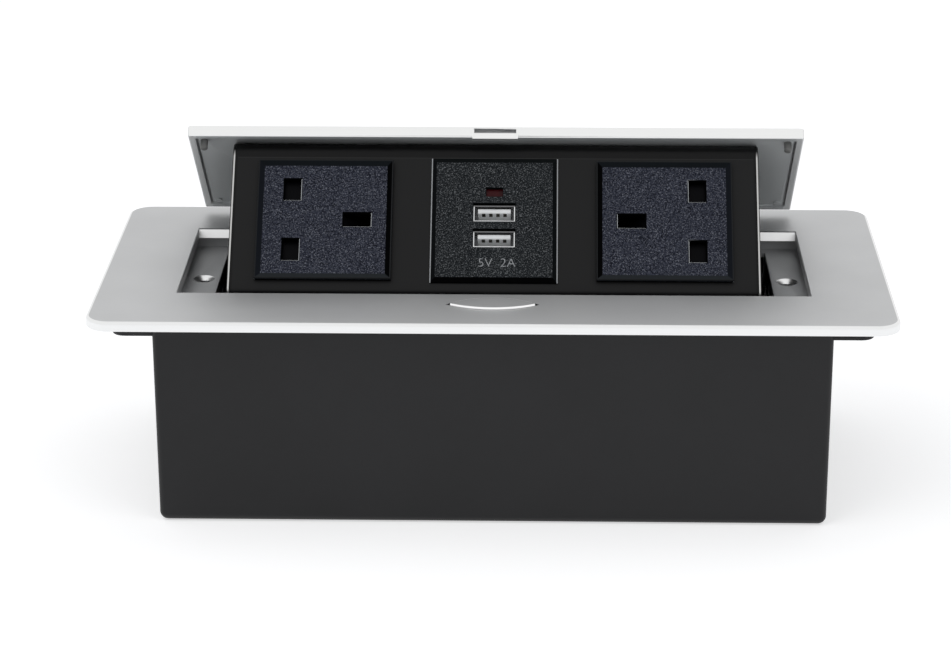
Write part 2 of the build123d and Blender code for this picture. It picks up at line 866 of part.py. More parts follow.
def make_shutter():
    x, z, length, height = module_places()["left"]
    y0 = back_of_panel + shutter_gap
    y1 = shutter_back()
    slot_x = x - pin_spacing / 2
    outer = slot_x - line_slot_width / 2 - shutter_cover
    window_0 = slot_x + line_slot_width / 2 + shutter_cover / 2
    window_1 = window_0 + shutter_window
    inner = window_1 + shutter_rail
    half = shutter_height / 2
    shutter = box(outer, inner, y0, y1, z - half, z + half)
    for slot_z in (z - pin_spacing / 2, z + pin_spacing / 2):
        low = slot_z - shutter_window_height / 2
        shutter -= box(window_0, window_1, y0, y1, low, low + shutter_window_height)
    arm = shutter_arm_height / 2
    earth_edge = x + pin_spacing / 2 - earth_slot_width / 2
    shutter += box(inner, earth_edge, y0, y1, z - arm, z + arm)
    tab = spring_seat(x) + spring_length()
    wedge = shutter_wedge_width / 2
    shutter += box(tab, tab + shutter_tab, y1, y1 + shutter_tab_height, z - wedge, z + wedge)
    slope = [
        (earth_edge, y0),
        (earth_edge + shutter_wedge, y0 + shutter_wedge_depth),
        (earth_edge + shutter_wedge, y0 + shutter_wedge_depth + shutter_wedge_edge),
        (earth_edge, y1 + shutter_wedge_edge),
    ]
    ramp = Plane.XY.offset(z - wedge) * make_face(Polyline(*slope, close=True))
    return shutter + extrude(ramp, shutter_wedge_width, dir=(0, 0, 1))


def spring_length():
    return pin_spacing / 2 + shutter_rail


def make_shutter_spring():
    x, z, length, height = module_places()["left"]
    start = spring_seat(x)
    y = shutter_back() + shutter_spring_lift + shutter_spring / 2
    run = spring_length() - shutter_wire
    turns = coil(shutter_spring, shutter_wire, shutter_turns, run)
    return Pos(start + shutter_wire / 2, y, z) * Rot(0, 90, 0) * turns


def usb_levels():
    x, z, length, height = module_places()["usb"]
    face_top = z + height / 2
    return [face_top - drop for drop in port_drops], face_top - led_drop


def board_front():
    return usb_front + port_recess + port_depth


def make_usb_face():
    x, z, length, height = module_places()["usb"]
    face = module_plate(x, z, length, height, usb_front)
    rim = face.faces().sort_by(Axis.Y)[0]
    face = chamfer(rim.edges(), usb_bevel, usb_bevel_depth, reference=rim)
    ports, led = usb_levels()
    for level in ports:
        half_x = port_length / 2
        half_z = port_height / 2
        face -= box(-half_x, half_x, usb_front, back_of_panel, level - half_z, level + half_z)
    half_x = led_length / 2
    half_z = led_height / 2
    return face - box(-half_x, half_x, usb_front, back_of_panel, led - half_z, led + half_z)


def make_led_lens():
    ports, led = usb_levels()
    half_x = led_length / 2
    half_z = led_height / 2
    head = box(-half_x, half_x, usb_front + led_recess, back_of_panel, led - half_z, led + half_z)
    return head + rod_y(light_pipe, 0, back_of_panel, board_front(), led)


def make_port(level):
    half_x = port_length / 2
    start = usb_front + port_recess
    bottom = level - port_height / 2
    roof = level + port_height / 2 - port_top_gap
    shell = box(-half_x, half_x, start, board_front(), bottom, roof)
    inner_x = half_x - port_wall
    back = board_front() - port_wall
    return shell - box(-inner_x, inner_x, start, back, bottom + port_wall, roof - port_wall)


def make_tongue(level):
    half = tongue_length / 2
    start = usb_front + port_recess + tongue_recess
    bottom = level + tongue_lift - tongue_height / 2
    back = board_front() - port_wall
    blade = box(-half, half, start, back, bottom, bottom + tongue_height)
    blade = chamfer(blade.faces().sort_by(Axis.Y)[0].edges().filter_by(Axis.X), tongue_edge)
    low = level - port_height / 2 + port_wall
    high = level + port_height / 2 - port_top_gap - port_wall
    return blade + box(-half, half, back - tongue_root, back, low, high)


def make_board():
    x, z, length, height = module_places()["usb"]
    half_x = length / 2 - module_lip - module_wall - board_gap
    half_z = height / 2 - module_lip - module_wall - board_gap
    y = board_front()
    return box(-half_x, half_x, y, y + board_thickness, z - half_z, z + half_z)


def make_usb_case():
    x, z, length, height = module_places()["usb"]
    case = module_tray(x, z, length, height)
    floor = module_back - module_floor
    seat = board_front() + board_thickness
    inner_x = length / 2 - module_lip - module_wall
    inner_z = height / 2 - module_lip - module_wall
    for side_x in (-1, 1):
        for side_z in (-1, 1):
            x0, x1 = sorted((side_x * inner_x, side_x * (inner_x - post)))
            z0, z1 = sorted((z + side_z * inner_z, z + side_z * (inner_z - post)))
            case += box(x0, x1, seat, floor, z0, z1)
    return case


def make_transformer():
    x, z, length, height = module_places()["usb"]
    y = board_front() + board_thickness
    half = transformer_length / 2
    low = z + transformer_lift - transformer_height / 2
    back = module_back - module_floor - transformer_clearance
    core = box(-half, half, y, back, low, low + transformer_height)
    return chamfer(core.faces().sort_by(Axis.Y)[-1].edges(), transformer_edge)


def make_capacitors():
    x, z, length, height = module_places()["usb"]
    y = board_front() + board_thickness
    back = module_back - module_floor - capacitor_clearance
    cans = []
    for side in (-1, 1):
        can = rod_y(capacitor, side * capacitor, y, back, z - capacitor_lowering)
        cans.append(fillet(can.edges().sort_by(Axis.Y)[-1], capacitor_edge))
    return Compound(children=cans)


def make_button():
    raised = top + button_raise - button_dome
    bottom = button_flange_bottom
    body = Pos(0, button_y, bottom) * lens(button_length, button_width, raised - bottom)
    dome_radius = (button_length**2 / 4 + button_dome**2) / (2 * button_dome)
    cap = Pos(0, button_y, raised) * lens(button_length, button_width, button_dome)
    ball = Pos(0, button_y, raised + button_dome - dome_radius) * Rot(90, 0, 0)
    cap &= ball * Cylinder(dome_radius, button_width * 2)
    flange_length = button_length + 2 * button_flange
    flange_width = button_width + 2 * button_flange
    flange = Pos(0, button_y, bottom) * lens(flange_length, flange_width, button_flange_thickness)
    stem_y = button_y - stem_setback
    stem_bottom = latch_z + latch_sheet / 2 + lever_gap
    points = [
        (stem_y - stem_depth / 2, bottom),
        (stem_y - stem_depth / 2, stem_bottom + stem_tip),
        (stem_y - stem_tip / 2, stem_bottom),
        (stem_y + stem_tip / 2, stem_bottom),
        (stem_y + stem_depth / 2, stem_bottom + stem_tip),
        (stem_y + stem_depth / 2, bottom),
    ]
    return body + cap + flange + across(points, -stem_width / 2, stem_width / 2)


def make_button_springs():
    springs = []
    run = button_flange_bottom - latch_floor - button_wire
    for side in (-1, 1):
        turns = coil(button_spring, button_wire, button_turns, run)
        springs.append(Pos(side * button_spring_offset, button_y, latch_floor + button_wire / 2) * turns)
    return Compound(children=springs)


def make_latch():
    """One bent lever: tongue, upright, hub and the arm under the button."""
    half = latch_width / 2
    arm_back = front + latch_arm_back
    arm_front = arm_back - latch_sheet
    tip = arm_back + tongue_reach
    points = [
        (arm_front, latch_z),
        (arm_front, top - tongue_top),
        (arm_back, top - tongue_top),
        (tip, top - tongue_tip_top),
        (tip, top - tongue_bottom),
        (arm_back, top - tongue_bottom),
        (arm_back, latch_z),
    ]
    lever = across(points, -half, half)
    lever += rod_x(latch_hub, -half, half, latch_y, latch_z)
    arm_half = lever_width / 2
    low = latch_z - latch_sheet / 2
    lever += box(-arm_half, arm_half, latch_y - lever_arm, latch_y, low, low + latch_sheet)
    return lever - rod_x(latch_pin + 2 * running_gap, -half, half, latch_y, latch_z)


def make_latch_pin():
    half = latch_bracket_length / 2
    pin = rod_x(latch_pin, -half, half, latch_y, latch_z)
    for side in (-1, 1):
        start, end = sorted((side * half, side * (half + latch_pin_end)))
        pin += rod_x(latch_pin_head, start, end, latch_y, latch_z)
    return pin


def make_latch_bracket():
    half = latch_bracket_length / 2
    y0 = front + latch_bracket_front
    y1 = front + latch_bracket_back
    ear_y = latch_ear_width / 2
    bracket = box(-half, half, y0, y1, latch_floor - sheet, underside)
    bracket -= box(sheet - half, half - sheet, y0, y1, latch_floor, underside)
    for side in (-1, 1):
        x0, x1 = sorted((side * (half - sheet), side * (half + latch_ear)))
        ear = box(x0, x1, button_y - ear_y, button_y + ear_y, underside - sheet, underside)
        bracket += ear
        offset = side * (half + latch_ear / 2)
        bracket -= rod_z(small_screw + 2 * hole_gap, offset, button_y, underside - sheet, underside)
        bracket += rod_z(
            button_spring - 2 * button_wire - 2 * spring_post_gap,
            side * button_spring_offset,
            button_y,
            latch_floor,
            latch_floor + spring_post_height,
        )
    bracket -= rod_x(latch_pin, -half, half, latch_y, latch_z)
    return bracket


def make_latch_screws():
    seat = underside - sheet
    screws = []
    for x in latch_screw_places():
        length = sheet + bezel_thickness - pocket_skin - hole_gap
        screws.append(upward_screw(x, button_y, seat, length, small_screw, small_head, small_head_height))
    return Compound(children=screws)


def build_base():
    save(make_bezel(), "bezel_frame")
    save(make_housing(), "housing_box")
    save(make_grommet(), "cable_grommet")
    save(make_housing_screws(), "housing_screws")
    bracket = make_bracket()
    save(bracket, "hinge_bracket_right")
    save(mirrored(bracket), "hinge_bracket_left")
    save(make_bracket_screws(), "bracket_screws")
    bush = make_bush()
    save(bush, "hinge_bush_right")
    save(mirrored(bush), "hinge_bush_left")
    spring = make_torsion_spring()
    save(spring, "torsion_spring_right")
    save(mirrored(spring), "torsion_spring_left")
    save(make_latch_bracket(), "latch_bracket")
    save(make_latch_pin(), "latch_pin")
    save(make_latch_screws(), "latch_screws")
    save(make_button_springs(), "button_springs")
    save(make_button(), "release_button")
    save(make_latch(), "latch_lever")


def build_carriage():
    save(opened(make_lid()), "lid")
    save(opened(make_lid_screws()), "lid_screws")
    save(opened(make_bumpers()), "lid_bumpers")
    save(opened(make_panel()), "front_panel")
    side = opened(make_side_plate())
    save(side, "side_plate_right")
    save(mirrored(side), "side_plate_left")
    save(opened(make_cover()), "rear_cover")
    pin = opened(make_hinge_pin())
    save(pin, "hinge_pin_right")
    save(mirrored(pin), "hinge_pin_left")


def build_sockets():
    pieces = {
        "socket_face": make_socket_face(),
        "socket_base": make_socket_base(),
        "terminal_screws": make_terminals(),
        "shutter": make_shutter(),
        "shutter_spring": make_shutter_spring(),
    }
    pieces.update(make_contacts())
    for name, piece in pieces.items():
        left = opened(piece)
        save(left, name + "_left")
        save(mirrored(left), name + "_right")


def build_charger():
    save(opened(make_usb_face()), "usb_face")
    save(opened(make_led_lens()), "usb_led_lens")
    ports, led = usb_levels()
    for name, level in zip(("upper", "lower"), ports):
        save(opened(make_port(level)), "usb_port_" + name)
        save(opened(make_tongue(level)), "usb_tongue_" + name)
    save(opened(make_board()), "usb_board")
    save(opened(make_usb_case()), "usb_case")
    save(opened(make_transformer()), "usb_transformer")
    save(opened(make_capacitors()), "usb_capacitors")


build_base()
build_carriage()
build_sockets()
build_charger()
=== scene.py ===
import json
import math

import bmesh
import bpy
from mathutils import Matrix, Vector


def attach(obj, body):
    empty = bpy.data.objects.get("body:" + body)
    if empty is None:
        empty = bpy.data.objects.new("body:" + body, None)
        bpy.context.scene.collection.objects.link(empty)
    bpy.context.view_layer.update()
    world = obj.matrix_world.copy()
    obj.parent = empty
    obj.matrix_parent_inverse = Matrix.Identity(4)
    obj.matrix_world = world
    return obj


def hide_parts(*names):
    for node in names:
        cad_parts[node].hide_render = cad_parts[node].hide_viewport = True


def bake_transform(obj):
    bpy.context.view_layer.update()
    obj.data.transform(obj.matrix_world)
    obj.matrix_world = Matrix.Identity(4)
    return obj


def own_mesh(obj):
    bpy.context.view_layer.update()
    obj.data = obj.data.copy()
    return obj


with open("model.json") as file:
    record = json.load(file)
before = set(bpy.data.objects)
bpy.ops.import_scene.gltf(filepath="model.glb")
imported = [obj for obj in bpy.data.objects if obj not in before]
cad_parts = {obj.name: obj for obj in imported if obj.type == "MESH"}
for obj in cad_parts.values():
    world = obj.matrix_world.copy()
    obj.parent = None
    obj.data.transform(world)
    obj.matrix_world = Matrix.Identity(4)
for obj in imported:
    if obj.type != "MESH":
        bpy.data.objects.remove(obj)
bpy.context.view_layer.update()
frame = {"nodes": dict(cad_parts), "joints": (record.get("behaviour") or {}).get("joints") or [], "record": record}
nodes = frame["nodes"]
mm = 0.001

# Where the carriage stands: drawn shut, then turned open about the lid's hinge
lidHinge = next(joint for joint in frame["joints"] if joint["name"] == "lid_hinge")
hinge = Vector(lidHinge["pos_m"])
openAngle = math.radians(lidHinge["range_deg"][1])
opening = Matrix.Rotation(-openAngle, 4, "X")
openTurn = Matrix.Translation(hinge) @ opening @ Matrix.Translation(-hinge)
outward = openTurn.to_3x3() @ Vector((0.0, -1.0, 0.0))   # the way the open panel faces
upward = openTurn.to_3x3() @ Vector((0.0, 0.0, 1.0))     # up along the open panel
zeroOut = openTurn.translation.dot(outward)   # what a point at Y 0 when shut measures outward
zeroUp = openTurn.translation.dot(upward)     # what a point at Z 0 when shut measures upward


# Shader maths: a Wire is one output socket, and sums on wires add Math nodes

noiseMiddle = (0.3, 0.7)   # the values of a noise between which one tone gives way to the next


class Wire:
    def __init__(self, finish, socket):
        self.finish = finish
        self.socket = socket

    def math(self, operation, first, second):
        return self.finish.node("ShaderNodeMath", {"operation": operation}, {0: first, 1: second})

    def __add__(self, other):
        return self.math("ADD", self, other)

    def __radd__(self, other):
        return self.math("ADD", other, self)

    def __sub__(self, other):
        return self.math("SUBTRACT", self, other)

    def __rsub__(self, other):
        return self.math("SUBTRACT", other, self)

    def __mul__(self, other):
        return self.math("MULTIPLY", self, other)

    def __rmul__(self, other):
        return self.math("MULTIPLY", other, self)

    def size(self):
        return self.math("ABSOLUTE", self, 0.0)

    def most(self, other):
        return self.math("MAXIMUM", self, other)

    def between(self, low, high):
        # 0 below low, 1 above high
        values = {"Value": self, "From Min": low, "From Max": high}
        return self.finish.node("ShaderNodeMapRange", None, values)

    def past(self, levels):
        # 0 below the first of two levels in millimetres, 1 above the second
        return self.between(levels[0] * mm, levels[1] * mm)

    def within(self, start, end):
        # 1 from past the first pair of levels until the second pair
        return self.past(start) * (1.0 - self.past(end))


class Finish:
    def __init__(self, name, tree=None):
        self.material = None
        if tree is None:
            self.material = bpy.data.materials.new(name)
            self.material.use_nodes = True
            tree = self.material.node_tree
        self.tree = tree
        self.tree.nodes.clear()

    def node(self, kind, settings=None, values=None, output=0):
        made = self.tree.nodes.new(kind)
        for name, value in (settings or {}).items():
            setattr(made, name, value)
        for name, value in (values or {}).items():
            if isinstance(value, Wire):
                self.tree.links.new(value.socket, made.inputs[name])
            else:
                made.inputs[name].default_value = value
        return Wire(self, made.outputs[output]) if len(made.outputs) else None

    def place(self, stretch=(1.0, 1.0, 1.0)):
        spot = self.node("ShaderNodeTexCoord", None, None, "Object")
        if stretch == (1.0, 1.0, 1.0):
            return spot
        return self.node("ShaderNodeMapping", None, {"Vector": spot, "Scale": stretch})

    def noise(self, place, size, detail=2.0):
        # size is about how far apart the grains are, in millimetres
        values = {"Vector": place, "Scale": 1000.0 / size, "Detail": detail, "Roughness": 0.55}
        return self.node("ShaderNodeTexNoise", None, values)

    def along(self, place, direction):
        settings = {"operation": "DOT_PRODUCT"}
        return self.node("ShaderNodeVectorMath", settings, {0: place, 1: tuple(direction)}, "Value")

    def shutPlace(self, place):
        # how far sideways, forward and up a point of the open carriage lies when it is shut
        sideways = self.along(place, (1, 0, 0))
        return sideways, self.along(place, outward) - zeroOut, self.along(place, upward) - zeroUp

    def clouded(self, cloud, shade, share):
        # the colour, a little darker or lighter from cloud to cloud
        dim, lit = tone(*shade, 1.0 - share), tone(*shade, 1.0 + share)
        return self.blend(cloud.between(*noiseMiddle), dim, lit)

    def blend(self, share, first, second):
        values = {"Factor": share, 6: first, 7: second}
        return self.node("ShaderNodeMix", {"data_type": "RGBA"}, values, 2)

    def bump(self, height, depth, strength=1.0):
        values = {"Height": height, "Distance": depth * mm, "Strength": strength}
        return self.node("ShaderNodeBump", None, values)

    def shade(self, values):
        shader = self.node("ShaderNodeBsdfPrincipled", None, values)
        self.node("ShaderNodeOutputMaterial", None, {"Surface": shader})
        return self


def tone(red, green, blue, times=1.0):
    return (red * times, green * times, blue * times, 1.0)


# Camera

view = {
    "place": Vector((0.01665, -0.9258, 0.40385)),
    "lens": 108.29,
    "sensor": 36.0,
    "clip": (0.01, 50.0),
    "pitch": math.radians(20.955),   # down from the horizon
    "yaw": math.radians(-1.444),     # to the left of +Y
    "roll": math.radians(-0.156),
}


def makeCamera():
    pitch, yaw, roll = view["pitch"], view["yaw"], view["roll"]
    ahead = Vector((math.sin(yaw), math.cos(yaw), 0.0))
    forward = ahead * math.cos(pitch) + Vector((0.0, 0.0, -math.sin(pitch)))
    level = Vector((math.cos(yaw), -math.sin(yaw), 0.0))
    upright = level.cross(forward)
    right = level * math.cos(roll) + upright * math.sin(roll)
    up = upright * math.cos(roll) - level * math.sin(roll)
    lens = bpy.data.cameras.new("productCamera")
    lens.lens = view["lens"]
    lens.sensor_width = view["sensor"]
    lens.clip_start, lens.clip_end = view["clip"]
    camera = bpy.data.objects.new("productCamera", lens)
    bpy.context.scene.collection.objects.link(camera)
    camera.matrix_world = Matrix((
        (right.x, up.x, -forward.x, view["place"].x),
        (right.y, up.y, -forward.y, view["place"].y),
        (right.z, up.z, -forward.z, view["place"].z),
        (0.0, 0.0, 0.0, 1.0),
    ))
    bpy.context.scene.camera = camera


makeCamera()
bpy.context.scene.view_settings.view_transform = "Standard"
print("camera placed")


# Studio: a pale floor, a white room and soft lamps

studio = {
    "floorSize": 6.0,
    "floorShade": tone(0.80, 0.80, 0.80),
    "floorGlow": 0.52,
    "roomShade": tone(0.62, 0.63, 0.65),
    "roomStrength": 0.75,
    "aim": Vector((0.0, 0.0, 0.05)),
    "lamps": [   # name, place, size and watts
        ("keyLamp", (-0.9, -0.5, 1.5), (1.4, 1.0), 6.0),
        ("fillLamp", (1.1, -0.7, 1.1), (1.2, 1.0), 3.0),
        ("topLamp", (0.0, 0.5, 1.6), (1.8, 0.9), 3.0),
    ],
}


def seenShare(finish):
    # 1 where the camera, a reflection or glass looks at it, and 0 where it only gives light
    share = finish.node("ShaderNodeLightPath", None, None, "Is Camera Ray")
    path = share.socket.node
    for name in ("Is Glossy Ray", "Is Transmission Ray"):
        share = share + Wire(finish, path.outputs[name])
    return finish.node("ShaderNodeClamp", None, {"Value": share})


def makeRoom():
    world = bpy.data.worlds.new("studioRoom")
    world.use_nodes = True
    bpy.context.scene.world = world
    finish = Finish("studioRoom", world.node_tree)
    values = {"Color": studio["roomShade"], "Strength": studio["roomStrength"]}
    light = finish.node("ShaderNodeBackground", None, values)
    white = finish.node("ShaderNodeBackground", None, {"Color": tone(1, 1, 1), "Strength": 1.0})
    both = finish.node("ShaderNodeMixShader", None, {0: seenShare(finish), 1: light, 2: white})
    finish.node("ShaderNodeOutputWorld", None, {"Surface": both})


def makeFloor():
    mesh = bpy.data.meshes.new("studioFloor")
    shape = bmesh.new()
    bmesh.ops.create_grid(shape, x_segments=1, y_segments=1, size=studio["floorSize"] / 2)
    shape.to_mesh(mesh)
    shape.free()
    floor = bpy.data.objects.new("studioFloor", mesh)
    bpy.context.scene.collection.objects.link(floor)
    finish = Finish("paleFloor")
    base = finish.node("ShaderNodeBsdfDiffuse", None, {"Color": studio["floorShade"]})
    glow = seenShare(finish) * studio["floorGlow"]
    light = finish.node("ShaderNodeEmission", None, {"Color": tone(1, 1, 1), "Strength": glow})
    both = finish.node("ShaderNodeAddShader", None, {0: base, 1: light})
    finish.node("ShaderNodeOutputMaterial", None, {"Surface": both})
    mesh.materials.append(finish.material)


def makeLamps():
    for name, place, size, watts in studio["lamps"]:
        lamp = bpy.data.lights.new(name, "AREA")
        lamp.shape = "RECTANGLE"
        lamp.size, lamp.size_y = size
        lamp.energy = watts
        holder = bpy.data.objects.new(name, lamp)
        bpy.context.scene.collection.objects.link(holder)
        holder.location = place
        holder.visible_glossy = False   # metal shows the white room alone
        holder.rotation_mode = "QUATERNION"
        aim = studio["aim"] - holder.location
        holder.rotation_quaternion = aim.to_track_quat("-Z", "Y")


makeRoom()
makeFloor()
makeLamps()
print("studio made")


# Finishes, one for each material slot of the record

metals = {
    "bare_steel": {
        "shade": (0.47, 0.47, 0.475), "roughness": 0.34, "spread": 0.16,
        "grain": 0.6, "grainDepth": 0.006, "cloud": 9.0, "cloudShare": 0.12,
        "brush": (0.05, 1.0, 1.0),
    },
    "spring_steel": {
        "shade": (0.36, 0.36, 0.37), "roughness": 0.30, "spread": 0.14,
        "grain": 0.3, "grainDepth": 0.004, "cloud": 4.0, "cloudShare": 0.14,
    },
    "brass_contacts": {
        "shade": (0.74, 0.55, 0.26), "roughness": 0.26, "spread": 0.14,
        "grain": 0.4, "grainDepth": 0.004, "cloud": 5.0, "cloudShare": 0.14,
        "brush": (1.0, 0.08, 1.0),
    },
    # brass darkened as painted shade, for the pads under the tongues
    "shadedBrass": {
        "shade": (0.035, 0.028, 0.016), "roughness": 0.34, "spread": 0.14,
        "grain": 0.3, "grainDepth": 0.004, "cloud": 2.0, "cloudShare": 0.14,
    },
}

aluminium = {   # blasted and anodised, with painted highlights on its edges and a dull cast inside, on the bezel darkened also as painted shade
    "satin": (0.555, 0.56, 0.566), "roughness": 0.54, "spread": 0.08,
    "brightRoughness": 0.32, "castRoughness": 0.56, "castMetal": 0.5,
    "grain": 0.24, "grainDepth": 0.010, "cloud": 26.0, "cloudShare": 0.025,
}

# From here on, a pair is the two levels in millimetres between which something comes or goes,
# but corner, hole and middle are places. Levels on the carriage are those when it is shut.

bezelLook = {
    # edge is the painted highlight tone of the bezel's lip, top edges, back wall and countersinks
    "edge": tone(0.83, 0.835, 0.835), "cast": tone(0.40, 0.405, 0.41),
    "corner": (125.0, 52.0), "lip": (6.9, 7.1),   # the outer edge's rounding starts at lip
    # the last pair here is where the plate turns to the darker cast tone, which is partly painted shade in the
    # well
    "edgeStart": (74.72, 74.76), "edgeEnd": (74.96, 74.99), "castAndShadeEnd": (71.6, 71.75),
    "wallStart": (33.5, 33.7), "wallEnd": (34.9, 35.0), "wallFoot": (71.75, 71.85),
    "hole": (100.45, 1.8), "sink": (3.72, 3.78), "sinkTop": (67.9, 67.95),
}
lidLook = {
    # edge is the painted highlight tone of the lid's front face, also used on the side rims
    "edge": tone(0.84, 0.845, 0.84), "cast": tone(0.58, 0.60, 0.605),
    "front": (30.1, 30.25), "top": (71.82, 71.95), "rim": (102.2, 102.3), "rimShare": 0.6,
}
buttonLook = {
    # edge is a painted highlight tone, point a painted shade tone
    "edge": tone(0.97, 0.97, 0.97), "point": tone(0.01, 0.01, 0.01),
    "crown": 75.8, "crownRadius": 321.6, "edgeDrop": (0.05, 0.08), "points": (13.9, 14.1),
    "backArcY": -60.035, "backArc": (23.40, 23.50),
}
portLook = {
    "dim": tone(0.58, 0.59, 0.60), "lit": tone(0.72, 0.73, 0.74), "shaded": tone(0.16, 0.16, 0.165),
    "upper": (46.35, 46.45), "lower": (36.85, 36.95), "lowerEnd": (40.0, 40.2),
    "roughness": 0.26, "spread": 0.10, "grain": 0.3, "grainDepth": 0.004,
}
boardLook = {
    "lacquer": tone(0.012, 0.085, 0.035), "track": tone(0.03, 0.17, 0.07),
    "cells": 420.0, "trackEdge": (0.42, 0.46), "trackDepth": 0.03,   # trackEdge is in cell widths
    "roughness": 0.22, "spread": 0.10, "grain": 2.0,
}

plastics = {
    "housing_black": {
        "shade": (0.0125, 0.0125, 0.0136), "roughness": 0.46, "spread": 0.12, "gloss": 0.31,
        "grain": 0.9, "grainDepth": 0.018, "cloud": 30.0, "cloudShare": 0.16,
    },
    "moulded_black": {
        "shade": (0.012, 0.012, 0.013), "roughness": 0.42, "spread": 0.14, "gloss": 0.35,
        "grain": 0.4, "grainDepth": 0.012, "cloud": 9.0, "cloudShare": 0.16,
    },
    "shutter_black": {
        "shade": (0.0014, 0.0014, 0.0022), "roughness": 0.40, "spread": 0.12, "gloss": 0.05,
        "grain": 0.3, "grainDepth": 0.008, "cloud": 6.0, "cloudShare": 0.16,
    },
    "rubber_black": {
        "shade": (0.014, 0.014, 0.015), "roughness": 0.68, "spread": 0.16, "gloss": 0.25,
        "grain": 0.5, "grainDepth": 0.02, "cloud": 7.0, "cloudShare": 0.2,
    },
    "nylon": {
        "shade": (0.16, 0.16, 0.155), "roughness": 0.42, "spread": 0.14, "gloss": 0.4,
        "grain": 0.4, "grainDepth": 0.01, "cloud": 4.0, "cloudShare": 0.08,
    },
    "tongue_white": {
        "shade": (0.90, 0.91, 0.91), "roughness": 0.34, "spread": 0.10, "gloss": 0.5,
        "grain": 0.3, "grainDepth": 0.006, "cloud": 4.0, "cloudShare": 0.05,
    },
    "lens_red": {
        "shade": (0.045, 0.002, 0.004), "roughness": 0.26, "spread": 0.10, "gloss": 0.14,
        "grain": 0.9, "grainDepth": 0.02, "cloud": 2.5, "cloudShare": 0.35,
    },
    "transformer_yellow": {
        "shade": (0.62, 0.45, 0.07), "roughness": 0.30, "spread": 0.12, "gloss": 0.5,
        "grain": 1.2, "grainDepth": 0.03, "cloud": 5.0, "cloudShare": 0.14,
    },
}

paintLook = {   # satin black paint on the folded panel and the carriage's sides
    # after the paint come the painted shade over the bend, a faint painted highlight where the bend starts and the
    # painted highlight of the plates' front edge
    "paint": tone(0.0075, 0.0075, 0.0078), "shoulderShade": tone(0.0022, 0.0022, 0.0024),
    "line": tone(0.022, 0.022, 0.022), "edge": tone(0.56, 0.56, 0.55),
    "roughness": 0.42, "spread": 0.10, "gloss": 0.17, "grain": 0.5, "grainDepth": 0.008,
    "bend": (64.74, 65.06), "darkEdge": (87.7, 88.0), "edgeTop": (65.5, 68.0),
    "edgeStart": (88.75, 88.85), "edgeEnd": (89.27, 89.37), "edgeFront": (22.0, 22.5),
}

# Spark-eroded mouldings: pits and bright grains on the face, smooth sides. Here face says how
# far forward the face stands, and past mitre the end bevels take over from the long ones.
speckled = {
    "socket_grey": {
        "dark": tone(0.0086, 0.0096, 0.0156), "body": tone(0.042, 0.046, 0.064),
        # mouth is a painted highlight on the slots' walls
        "light": tone(0.195, 0.205, 0.240), "mouth": tone(0.66, 0.68, 0.70),
        # the sides and the four bevel tones are painted shade and painted light
        "side": tone(0.0006, 0.0007, 0.0009), "sideOut": tone(0.0090, 0.0105, 0.0138),
        "sideLow": tone(0.0230, 0.0258, 0.0285), "sideTop": tone(0.0080, 0.0098, 0.0118),
        # rim is a painted highlight along the rim's lip
        "rim": tone(0.022, 0.023, 0.024), "face": 27.7, "middle": (57.4, 41.3),
        "mitre": (0.97, 1.03), "bevels": (0.04, 0.08),
        "pit": 0.62, "grain": 0.40, "roughness": 0.50,
    },
    "charger_black": {
        "dark": tone(0.0076, 0.0086, 0.0096), "body": tone(0.0226, 0.0256, 0.0286),
        # mouth is painted shade on the walls of the openings
        "light": tone(0.195, 0.205, 0.210), "mouth": tone(0.004, 0.004, 0.004),
        # the sides and the four bevel tones are painted shade and painted light
        "side": tone(0.0040, 0.0050, 0.0055), "sideOut": tone(0.0040, 0.0050, 0.0055),
        "sideLow": tone(0.0004, 0.0004, 0.0006), "sideTop": tone(0.0050, 0.0062, 0.0066),
        "rim": tone(0.006, 0.006, 0.006), "face": 27.9, "middle": (0.0, 41.5),
        "mitre": (-1.53, -1.47), "bevels": (-0.9, -0.86),
        "pit": 0.50, "grain": 0.36, "roughness": 0.48,
        # a painted highlight along the outer edges
        "edge": (21.05, 21.2), "edgeHighlight": tone(0.42, 0.43, 0.44),
    },
}
# What both mouldings share. Start and End are levels past the face. A slot's wall is painted where it turns up by
# turnUp, or away from the middle: turnAside is that turn times x in metres.
speckle = {
    "faceStart": (-0.06, -0.02), "faceEnd": (0.05, 0.12), "mouthStart": (-0.50, -0.42),
    "rimStart": (0.79, 0.85), "halves": (-1.0, 1.0),
    "turnAside": (0.010, 0.025), "turnUp": (0.45, 0.65),
    "pits": (0.40, 0.60), "grains": (0.54, 0.72), "patch": 9.0, "patchShare": 0.25,
    "depth": 0.06, "gloss": 0.012, "sideGloss": 0.12,
}


def metalFinish(name, look):
    finish = Finish(name)
    place = finish.place()
    rolled = finish.place(look["brush"]) if "brush" in look else place
    grain = finish.noise(rolled, look["grain"], detail=3.0)
    cloud = finish.noise(place, look["cloud"], detail=3.0)
    return finish.shade({
        "Base Color": finish.clouded(cloud, look["shade"], look["cloudShare"]),
        "Metallic": 1.0,
        "Roughness": look["roughness"] + (grain + cloud - 1.0) * look["spread"],
        "Normal": finish.bump(grain, look["grainDepth"], strength=0.6),
    })


def plasticFinish(name, look):
    finish = Finish(name)
    place = finish.place()
    grain = finish.noise(place, look["grain"], detail=3.0)
    cloud = finish.noise(place, look["cloud"], detail=3.0)
    return finish.shade({
        "Base Color": finish.clouded(cloud, look["shade"], look["cloudShare"]),
        "Roughness": look["roughness"] + (grain + cloud - 1.0) * look["spread"],
        "Specular IOR Level": look["gloss"],
        "Normal": finish.bump(grain, look["grainDepth"], strength=0.7),
    })


